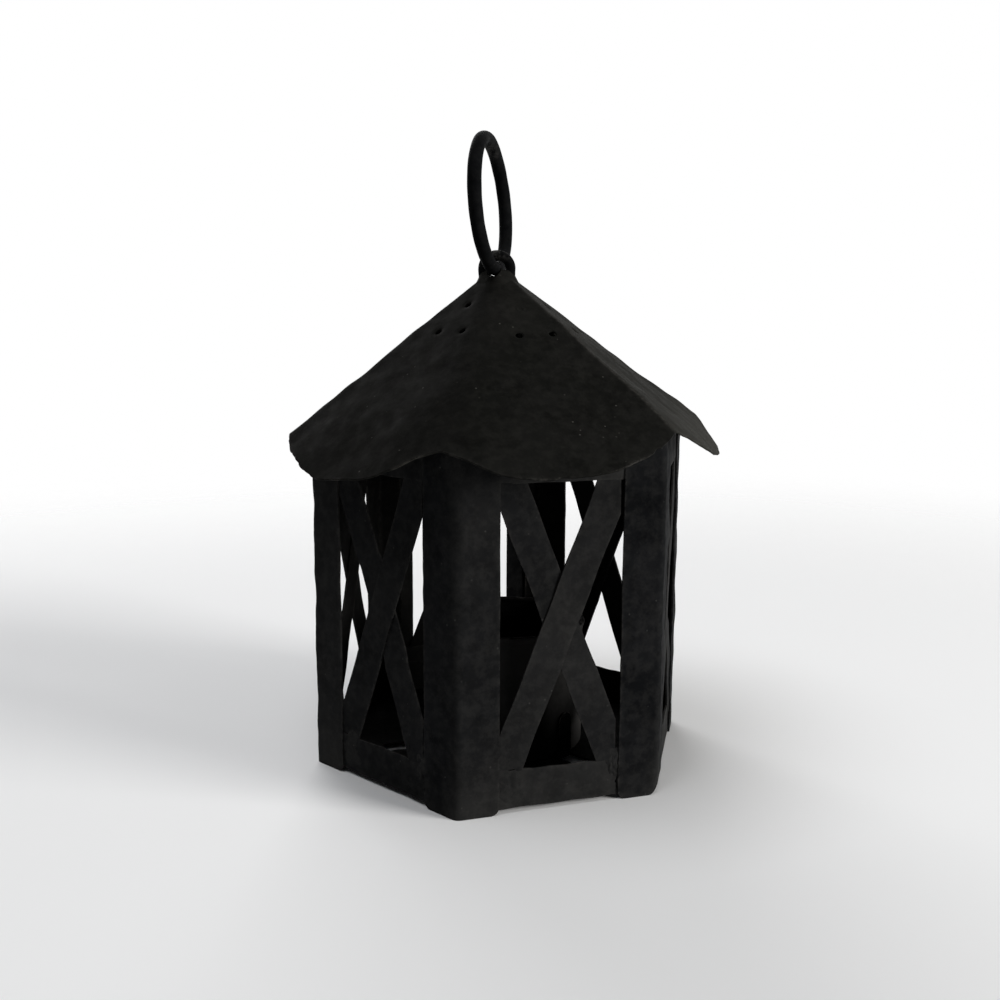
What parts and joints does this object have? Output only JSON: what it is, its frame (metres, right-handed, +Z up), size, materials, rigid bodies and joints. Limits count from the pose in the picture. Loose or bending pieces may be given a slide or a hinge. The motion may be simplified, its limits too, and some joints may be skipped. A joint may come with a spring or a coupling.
{
  "type": "tin candle lantern",
  "caption": "Six-sided tin candle lantern with crossed-strip sides, a lobed roof with punched vents, a hinged door with a turn button, a candle cup and a hanging ring.",
  "frame": {"origin": "middle of the foot, on the surface that the lantern stands on", "axes": "+Z up; -Y is the front, the side opposite the door; +X to the right as seen from the front"},
  "size_m": [0.1437, 0.1478, 0.205],
  "materials": {
    "tin_paint": "matte black paint, dusty, worn to grey at corners and cut edges",
    "roof_paint": "matte black paint with a warm grey dust, thin bare edges along the lobes",
    "wire_paint": "satin black paint",
    "inside_paint": "matte black paint, sooty"
  },
  "bodies": {
    "lantern_body": {"floor_plate": "inside_paint", "candle_cup": "inside_paint", "front_left_post": "tin_paint", "front_right_post": "tin_paint", "right_post": "tin_paint", "rear_right_post": "tin_paint", "rear_left_post": "tin_paint", "left_post": "tin_paint", "front_bottom_rail": "tin_paint", "front_top_rail": "tin_paint", "front_right_bottom_rail": "tin_paint", "front_right_top_rail": "tin_paint", "rear_right_bottom_rail": "tin_paint", "rear_right_top_rail": "tin_paint", "rear_bottom_rail": "tin_paint", "rear_top_rail": "tin_paint", "rear_left_bottom_rail": "tin_paint", "rear_left_top_rail": "tin_paint", "front_left_bottom_rail": "tin_paint", "front_left_top_rail": "tin_paint", "front_front_strip": "tin_paint", "front_back_strip": "tin_paint", "front_right_front_strip": "tin_paint", "front_right_back_strip": "tin_paint", "rear_right_front_strip": "tin_paint", "rear_right_back_strip": "tin_paint", "rear_left_front_strip": "tin_paint", "rear_left_back_strip": "tin_paint", "front_left_front_strip": "tin_paint", "front_left_back_strip": "tin_paint", "hinge_pin": "wire_paint", "hinge_lug_lower": "tin_paint", "hinge_lug_upper": "tin_paint", "latch_rivet": "wire_paint", "roof": "roof_paint", "hanging_eye": "wire_paint"},
    "door": {"door_bottom_rail": "tin_paint", "door_top_rail": "tin_paint", "door_latch_stile": "tin_paint", "door_front_strip": "tin_paint", "door_back_strip": "tin_paint", "door_hinge_stile": "tin_paint"},
    "latch_button": {"turn_button": "tin_paint"},
    "ring": {"hanging_ring": "wire_paint"}
  },
  "joints": [
    {"name": "door_hinge", "type": "hinge", "parent": "lantern_body", "child": "door", "pos_m": [0.029, 0.05804, 0.05266], "axis": [0, 0, -1], "range_deg": [0, 180]},
    {"name": "latch_turn", "type": "hinge", "parent": "lantern_body", "child": "latch_button", "pos_m": [-0.02875, 0.05809, 0.054], "axis": [0, -1, 0], "range_deg": [0, 90]},
    {"name": "ring_swing", "type": "hinge", "parent": "lantern_body", "child": "ring", "pos_m": [-0.00296, 0.00268, 0.16207], "axis": [0.5123, 0.8585, -0.0238], "range_deg": [-123, 124]}
  ]
}
